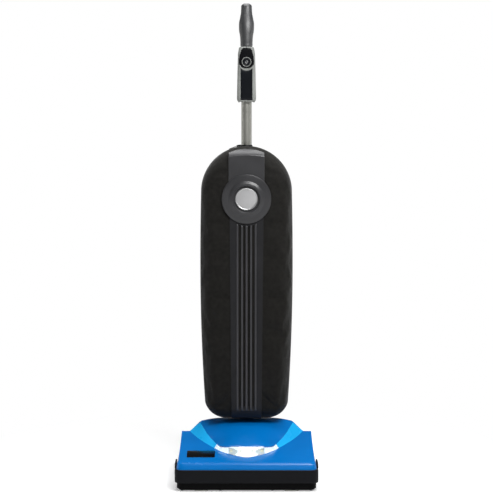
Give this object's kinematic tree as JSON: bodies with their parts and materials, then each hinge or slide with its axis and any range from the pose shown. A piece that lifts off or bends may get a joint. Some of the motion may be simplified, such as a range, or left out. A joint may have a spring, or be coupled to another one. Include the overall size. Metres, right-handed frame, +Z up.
{
  "type": "upright vacuum cleaner",
  "caption": "Slim battery upright vacuum with a wide low floor head, headlight band, tall fabric-covered body with ribbed trim, and a tube handle with a curved grip.",
  "frame": {"origin": "on the floor, under the middle of the bounding box", "axes": "+Z up, the front of the floor head faces -Y, +X is the right side seen from the front"},
  "size_m": [0.334, 0.28, 1.1342],
  "materials": {
    "casing_black": "moulded black, fine texture",
    "plated_steel": "zinc plated sheet",
    "screw_steel": "plated",
    "glide_plastic": "smooth",
    "bumper_rubber": "soft matte",
    "hood_blue": "painted gloss blue",
    "lens_clear": "clear moulded lens",
    "circuit_board": "solder mask",
    "led_lens": "cast",
    "gloss_black": "gloss, blank",
    "motor_steel": "satin",
    "bearing_steel": "ground",
    "belt_rubber": "matte",
    "brush_plastic": "moulded",
    "bristle": "nylon",
    "winding_copper": "enamelled wire",
    "pulley_alloy": "turned",
    "fan_plastic": "glass filled",
    "wheel_plastic": "moulded",
    "wheel_tread": "rubber",
    "dock_plastic": "moulded",
    "bag_paper": "non-woven",
    "collar_card": "pressed card",
    "tube_metal": "satin anodised",
    "lead_jacket": "smooth",
    "shell_silver": "silver paint on plastic",
    "panel_black": "satin black",
    "grip_black": "soft grip",
    "zip_black": "zip tape",
    "zip_metal": "black lacquered casting",
    "bag_fabric": "woven ballistic nylon",
    "spine_grey": "satin dark grey",
    "medallion_silver": "satin silver, blank"
  },
  "bodies": {
    "base": {"chassis": "casing_black", "sole_plate": "plated_steel", "sole_screws": "screw_steel", "glide_pads": "glide_plastic", "bumper": "bumper_rubber", "side_guards": "bumper_rubber", "hood": "hood_blue", "headlight_lens": "lens_clear", "headlight_board": "circuit_board", "headlight_leds": "led_lens", "badge_plate": "gloss_black", "brush_end_blocks": "casing_black", "intake_duct": "casing_black", "fan_housing": "casing_black", "exhaust_elbow": "casing_black", "motor_housing": "motor_steel", "motor_bearings": "bearing_steel", "motor_cradles": "bumper_rubber", "drive_belt": "belt_rubber", "pivot_pins": "bearing_steel", "wheel_axles": "bearing_steel", "pedal_spring": "bearing_steel"},
    "brush_roll": {"brush_core": "brush_plastic", "brush_bristles": "bristle", "brush_axle": "bearing_steel"},
    "motor_rotor": {"motor_shaft": "bearing_steel", "motor_armature": "winding_copper", "drive_pulley": "pulley_alloy", "suction_fan": "fan_plastic"},
    "left_wheel": {"wheel_left": "wheel_plastic", "tyre_left": "wheel_tread"},
    "right_wheel": {"wheel_right": "wheel_plastic", "tyre_right": "wheel_tread"},
    "pedal": {"release_pedal": "casing_black"},
    "upright": {"neck_yoke": "casing_black", "back_shell": "casing_black", "fill_tube": "casing_black", "bag_dock": "dock_plastic", "dust_bag": "bag_paper", "bag_collar": "collar_card", "handle_tube": "tube_metal", "tube_collar": "bumper_rubber", "tube_bolt": "screw_steel", "battery_dock": "dock_plastic", "handle_lead": "lead_jacket", "handle_shell_front": "shell_silver", "handle_shell_rear": "shell_silver", "handle_panel": "panel_black", "switch_bezel": "panel_black", "switch_body": "dock_plastic", "grip": "grip_black", "handle_screws": "screw_steel", "zipper_tape": "zip_black"},
    "cover": {"outer_bag": "bag_fabric", "spine": "spine_grey", "medallion": "medallion_silver"},
    "battery": {"battery_pack": "casing_black"},
    "latch": {"battery_latch": "dock_plastic"},
    "button": {"power_button": "panel_black"},
    "zip_tab": {"zipper_pull": "zip_metal"}
  },
  "joints": [
    {"name": "recline", "type": "hinge", "parent": "base", "child": "upright", "pos_m": [0, 0.098, 0.062], "axis": [-1, 0, 0], "range_deg": [0, 80]},
    {"name": "brush_spin", "type": "hinge", "parent": "base", "child": "brush_roll", "pos_m": [0, -0.095, 0.029], "axis": [1, 0, 0], "continuous": true},
    {"name": "motor_spin", "type": "hinge", "parent": "base", "child": "motor_rotor", "pos_m": [0, 0.015, 0.052], "axis": [1, 0, 0], "continuous": true},
    {"name": "wheel_left_spin", "type": "hinge", "parent": "base", "child": "left_wheel", "pos_m": [-0.138, 0.106, 0.034], "axis": [-1, 0, 0], "continuous": true},
    {"name": "wheel_right_spin", "type": "hinge", "parent": "base", "child": "right_wheel", "pos_m": [0.138, 0.106, 0.034], "axis": [-1, 0, 0], "continuous": true},
    {"name": "pedal_press", "type": "hinge", "parent": "base", "child": "pedal", "pos_m": [-0.09, 0.08, 0.052], "axis": [-1, 0, 0], "range_deg": [0, 14], "stiffness_Nm_per_rad": 1.2, "springref_deg": -5.73},
    {"name": "cover_swing", "type": "hinge", "parent": "upright", "child": "cover", "pos_m": [0.113, 0.06, 0.46], "axis": [0, 0, 1], "range_deg": [0, 110]},
    {"name": "zip_tab_swing", "type": "hinge", "parent": "upright", "child": "zip_tab", "pos_m": [-0.02093, 0.0588, 0.79444], "axis": [0, 1, 0], "range_deg": [0, 105]},
    {"name": "battery_slide", "type": "slide", "parent": "upright", "child": "battery", "axis": [0, 1, 0], "range_m": [0, 0.03]},
    {"name": "latch_press", "type": "slide", "parent": "battery", "child": "latch", "axis": [0, 0, -1], "range_m": [0, 0.0035], "stiffness_N_per_m": 900, "springref_m": -0.002},
    {"name": "button_press", "type": "slide", "parent": "upright", "child": "button", "axis": [0, 1, 0], "range_m": [0, 0.002], "stiffness_N_per_m": 900, "springref_m": -0.001}
  ],
  "couplings": [
    {"joint": "motor_spin", "follows": "brush_spin", "ratio": 2.2857}
  ]
}
